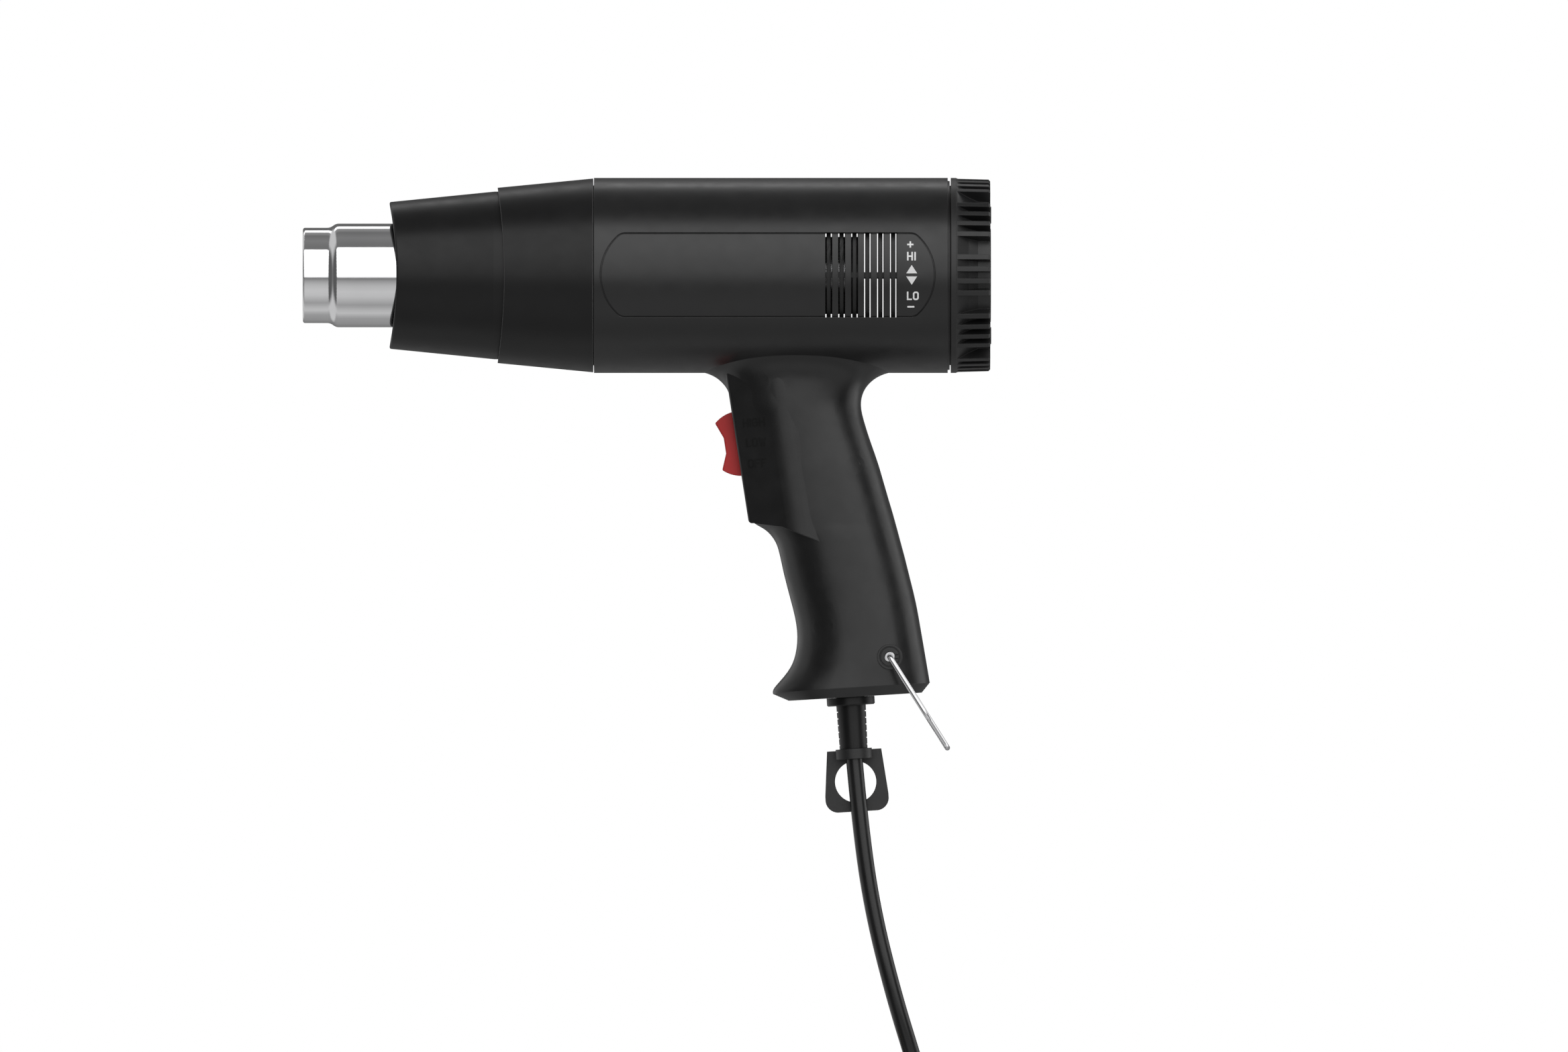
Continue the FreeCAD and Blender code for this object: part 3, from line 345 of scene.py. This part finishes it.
def make_tie():
    """Strap round the coil's section, a little fuller along its middle."""
    mesh = bpy.data.meshes.new("coil_strap")
    bm = bmesh.new()
    outline = strap_outline()
    sides = [STRAP_HALF * step / 2 for step in range(-2, 3)]
    centre_z = (STRAP_LOW + STRAP_HIGH) / 2
    rows = []
    for radial, z in outline:
        for side in sides:
            scale = 1 + STRAP_BULGE * (1 - (side / STRAP_HALF) ** 2) / 12.0
            corner = Vector((STRAP_MIDDLE + (radial - STRAP_MIDDLE) * scale, side,
                             centre_z + (z - centre_z) * scale))
            rows.append(bm.verts.new(corner * MM))
    count = len(outline)
    across = len(sides)
    for k in range(count):
        for j in range(across - 1):
            a, b = k * across + j, ((k + 1) % count) * across + j
            bm.faces.new((rows[a], rows[b], rows[b + 1], rows[a + 1]))
    bm.to_mesh(mesh)
    bm.free()
    turn = Matrix.Rotation(math.radians(STRAP_DEGREES), 4, "Z")
    mesh.transform(Matrix.Translation((COIL_CENTRE[0] * MM, COIL_CENTRE[1] * MM, 0)) @ turn)
    for face in mesh.polygons:
        face.use_smooth = True
    strap = add_piece("coil_strap", mesh, tab_plastic)
    thick = strap.modifiers.new("thickness", "SOLIDIFY")
    thick.thickness = STRAP_THICKNESS * MM
    thick.offset = -1
    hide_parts("coil_tie")
    return strap


cord = make_cord()
strap = make_tie()
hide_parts("cord_tube", "cord_coil")


# ------------------------------------------------------------------ printed marks

# Letters as strokes, in a box one high whose width is that of the letter
GLYPHS = {
    "H": [[(0, 0), (0, 1)], [(0.62, 0), (0.62, 1)], [(0, 0.5), (0.62, 0.5)]],
    "I": [[(0, 0), (0, 1)]],
    "L": [[(0, 1), (0, 0), (0.5, 0)]],
    "O": [[(0.16, 0), (0, 0.16), (0, 0.84), (0.16, 1), (0.46, 1), (0.62, 0.84), (0.62, 0.16), (0.46, 0),
           (0.16, 0)]],
    "G": [[(0.62, 0.82), (0.46, 1), (0.16, 1), (0, 0.84), (0, 0.16), (0.16, 0), (0.46, 0), (0.62, 0.18),
           (0.62, 0.5), (0.34, 0.5)]],
    "W": [[(0, 1), (0.2, 0), (0.4, 0.9), (0.6, 0), (0.8, 1)]],
    "F": [[(0, 0), (0, 1), (0.55, 1)], [(0, 0.52), (0.45, 0.52)]],
    "+": [[(0, 0.5), (1, 0.5)], [(0.5, 0), (0.5, 1)]],
    "-": [[(0, 0.5), (1, 0.5)]],
}


def surface_of(node):
    """Search tree over a node's surface, in the scene's own place."""
    corners = [node.matrix_world @ v.co for v in node.data.vertices]
    return BVHTree.FromPolygons(corners, [tuple(p.vertices) for p in node.data.polygons])


left_half = surface_of(nodes["housing_left"])

# How far a stroke runs past its ends, in widths, so that corners close without bumps
SQUARE_OVERRUN = 0.5
ROUND_OVERRUN = 0.2
ROUND_POINTS = 5
STROKE_LIFT = 0.0015 * MM
LIFT_STEPS = 29
STROKE_STEP = 0.4


def stroke_faces(bm, start, end, width, place, overrun):
    """One straight stroke as a strip of small quads, each corner put in place on the surface.

    Each stroke lies a hair nearer than the one before it, so that crossing strokes share no surface.
    """
    lift = Vector((0, STROKE_LIFT * (len(bm.faces) % LIFT_STEPS), 0))
    a, b = Vector(start), Vector(end)
    along = (b - a).normalized()
    across = Vector((-along.y, along.x)) * (width / 2)
    a = a - along * (width * overrun)
    b = b + along * (width * overrun)
    steps = max(1, math.ceil((b - a).length / STROKE_STEP))
    rows = []
    for k in range(steps + 1):
        middle = a + (b - a) * (k / steps)
        rows.append([bm.verts.new(Vector(place(*(middle + across * s))) - lift) for s in (-1, 1)])
    for low, high in zip(rows, rows[1:]):
        bm.faces.new((low[0], high[0], high[1], low[1]))


def write_word(bm, word, centre, height, stroke, place, gap=0.32, tilt=0.0):
    """Stroke letters centred on a point, in millimetres; the gap is in heights."""
    widths = [max(x for line in GLYPHS[c] for x, y in line) * height for c in word]
    total = sum(widths) + gap * height * (len(word) - 1)
    pen = -total / 2
    for letter, width in zip(word, widths):
        for line in GLYPHS[letter]:
            points = []
            for x, y in line:
                u, v = pen + x * height, (y - 0.5) * height
                points.append((centre[0] + u * math.cos(tilt) - v * math.sin(tilt),
                               centre[1] + u * math.sin(tilt) + v * math.cos(tilt)))
            overrun = ROUND_OVERRUN if len(line) > ROUND_POINTS else SQUARE_OVERRUN
            for start, end in zip(points, points[1:]):
                stroke_faces(bm, start, end, stroke, place, overrun)
        pen += width + gap * height


# Printed marks lie just off the barrel, of radius 35, and just off the switch block
INK_R = 35.04
INK_GAP = 0.06


def on_barrel(x, z):
    """Point just off the barrel's near side; z is measured from its axis."""
    return (x * MM, -math.sqrt(INK_R * INK_R - z * z) * MM, AXIS_Z + z * MM)


def on_block(x, z):
    """Point just off the switch block's near side."""
    hit = left_half.ray_cast(Vector((x * MM, -60 * MM, z * MM)), Vector((0, 1, 0)))[0]
    return (x * MM, hit.y - INK_GAP * MM, z * MM)


def finish_marks(name, bm, material):
    mesh = bpy.data.meshes.new(name)
    bm.normal_update()
    bm.to_mesh(mesh)
    bm.free()
    return add_piece(name, mesh, material)


# Column of the heat marks along X, and the arrows' base, tip and half width
MARKS_X = 23.6
ARROW_BASE = 0.55
ARROW_TIP = 3.55
ARROW_HALF = 1.95
ARROW_STEPS = 6


def make_white_marks():
    """Heat marks beside the dial: plus, HI, two arrows, LO and minus."""
    bm = bmesh.new()
    write_word(bm, "+", (MARKS_X - 0.5, 10.9), 1.7, 0.56, on_barrel)
    write_word(bm, "HI", (MARKS_X - 0.1, 6.7), 2.5, 0.56, on_barrel, gap=0.42)
    write_word(bm, "LO", (MARKS_X + 0.4, -7.5), 2.5, 0.54, on_barrel, gap=0.36)
    write_word(bm, "-", (MARKS_X - 0.3, -11.4), 1.9, 0.6, on_barrel)
    for sign in (1, -1):
        base, tip = ARROW_BASE * sign, ARROW_TIP * sign
        rows = []
        for k in range(ARROW_STEPS + 1):
            z = base + (tip - base) * k / ARROW_STEPS
            half = ARROW_HALF * (1 - k / ARROW_STEPS)
            rows.append([bm.verts.new(on_barrel(MARKS_X + s * half, z)) for s in (-1, 1)])
        for low, high in zip(rows, rows[1:]):
            bm.faces.new((low[0], low[1], high[1], high[0]))
    finish_marks("heat_marks", bm, white_ink)


def make_switch_marks():
    """Names of the rocker's three places, drawn small on the switch block's side."""
    bm = bmesh.new()
    tilt = math.radians(4)
    for word, x, z in (("HIGH", -33.0, 53.2), ("LOW", -32.2, 46.1), ("OFF", -31.8, 38.6)):
        write_word(bm, word, (x, z), 2.6, 0.55, on_block, tilt=tilt)
    finish_marks("switch_marks", bm, black_ink)


make_white_marks()
make_switch_marks()


# ------------------------------------------------------------------ floor and light

FLOOR_Z = -0.2142
FLOOR_R = 3.0


def make_floor():
    """Plain pale round floor that doesn't take part in the object's own light."""
    bm = bmesh.new()
    bmesh.ops.create_circle(bm, cap_ends=True, segments=96, radius=FLOOR_R)
    mesh = bpy.data.meshes.new("floor")
    bm.to_mesh(mesh)
    bm.free()
    floor = bpy.data.objects.new("floor", mesh)
    bpy.context.scene.collection.objects.link(floor)
    floor.location = (0, 0, FLOOR_Z)
    tree = Tree("floor_paper")
    pale = tree.blend(tree.noise(0.4, 3.0), (0.80, 0.80, 0.80), (0.84, 0.84, 0.84))
    tree.join(pale, tree.shader.inputs["Base Color"])
    tree.shader.inputs["Roughness"].default_value = 0.8
    floor.data.materials.append(tree.material)
    floor.visible_glossy = False
    floor.visible_diffuse = False
    floor.visible_shadow = False


# Ends of the studio: where along X each begins, where along Y it brightens, and its two levels
LEFT_EDGE = (0.30, 0.46)
LEFT_TURN = (-0.45, 0.0)
LEFT_LEVELS = (0.12, 0.65)
RIGHT_EDGE = (0.70, 0.85)
RIGHT_TURN = (-0.25, 0.12)
RIGHT_LEVELS = (0.10, 1.25)
# Brightness of the studio by the angle in the YZ plane: 0 is towards the camera, 90 overhead, 180 behind
STUDIO = [
    (-180, 0.16), (-161, 0.21), (-138, 0.32), (-112, 0.39), (-102, 0.50), (-94, 0.62), (-85, 0.56),
    (-77, 0.46), (-70, 0.39), (-49, 0.62), (-37, 0.66), (-24, 0.57), (-18, 0.48),
    (-12, 0.36), (-6, 0.18), (-4, 1.3), (20, 1.6), (34, 1.95), (64, 1.95), (66, 0.19), (76, 0.20),
    (92, 0.235), (111, 0.18), (122, 0.30), (128, 0.34), (129.5, 1.7), (140, 1.7), (141.5, 0.16), (180, 0.14),
]


def make_world():
    """Studio light: brightness by the angle in the YZ plane, dimmer screens at both ends."""
    world = bpy.data.worlds.new("studio")
    world.use_nodes = True
    bpy.context.scene.world = world
    tree = world.node_tree
    make, join = tree.nodes.new, tree.links.new
    background = tree.nodes["Background"]

    def math_node(operation, first, second=None):
        node = make("ShaderNodeMath")
        node.operation = operation
        for socket, value in zip(node.inputs, (first, second)):
            if value is None:
                continue
            if isinstance(value, (int, float)):
                socket.default_value = value
            else:
                join(value, socket)
        return node.outputs[0]

    def step(value, low, high):
        node = make("ShaderNodeMapRange")
        node.interpolation_type = "SMOOTHSTEP"
        node.inputs["From Min"].default_value = low
        node.inputs["From Max"].default_value = high
        join(value, node.inputs["Value"])
        return node.outputs["Result"]

    def mix(factor, first, second):
        node = make("ShaderNodeMix")
        node.data_type = "FLOAT"
        join(factor, node.inputs["Factor"])
        for socket, value in ((node.inputs["A"], first), (node.inputs["B"], second)):
            if isinstance(value, (int, float)):
                socket.default_value = value
            else:
                join(value, socket)
        return node.outputs["Result"]

    split = make("ShaderNodeSeparateXYZ")
    join(make("ShaderNodeTexCoord").outputs["Generated"], split.inputs["Vector"])
    x, y, z = split.outputs
    angle = math_node("ARCTAN2", z, math_node("MULTIPLY", y, -1.0))
    around = math_node("ADD", math_node("DIVIDE", angle, 2 * math.pi), 0.5)
    ramp = make("ShaderNodeValToRGB")
    stops = ramp.color_ramp.elements
    while len(stops) > 1:
        stops.remove(stops[-1])
    peak = max(level for degrees, level in STUDIO)
    for index, (degrees, level) in enumerate(STUDIO):
        stop = stops[0] if index == 0 else stops.new((degrees + 180) / 360)
        grey = level / peak
        stop.color = (grey, grey, grey, 1)
    join(around, ramp.inputs["Fac"])
    band = math_node("MULTIPLY", ramp.outputs["Color"], peak)
    left = mix(step(y, *LEFT_TURN), *LEFT_LEVELS)
    right = mix(step(y, *RIGHT_TURN), *RIGHT_LEVELS)
    lit = mix(step(x, *RIGHT_EDGE), band, right)
    lit = mix(step(math_node("MULTIPLY", x, -1.0), *LEFT_EDGE), lit, left)
    seen = mix(make("ShaderNodeLightPath").outputs["Is Camera Ray"], lit, 1.0)
    join(seen, background.inputs["Strength"])
    background.inputs["Color"].default_value = (1, 1, 1, 1)


make_floor()
make_world()
view = bpy.context.scene.view_settings
view.view_transform = "Standard"
view.look = "None"
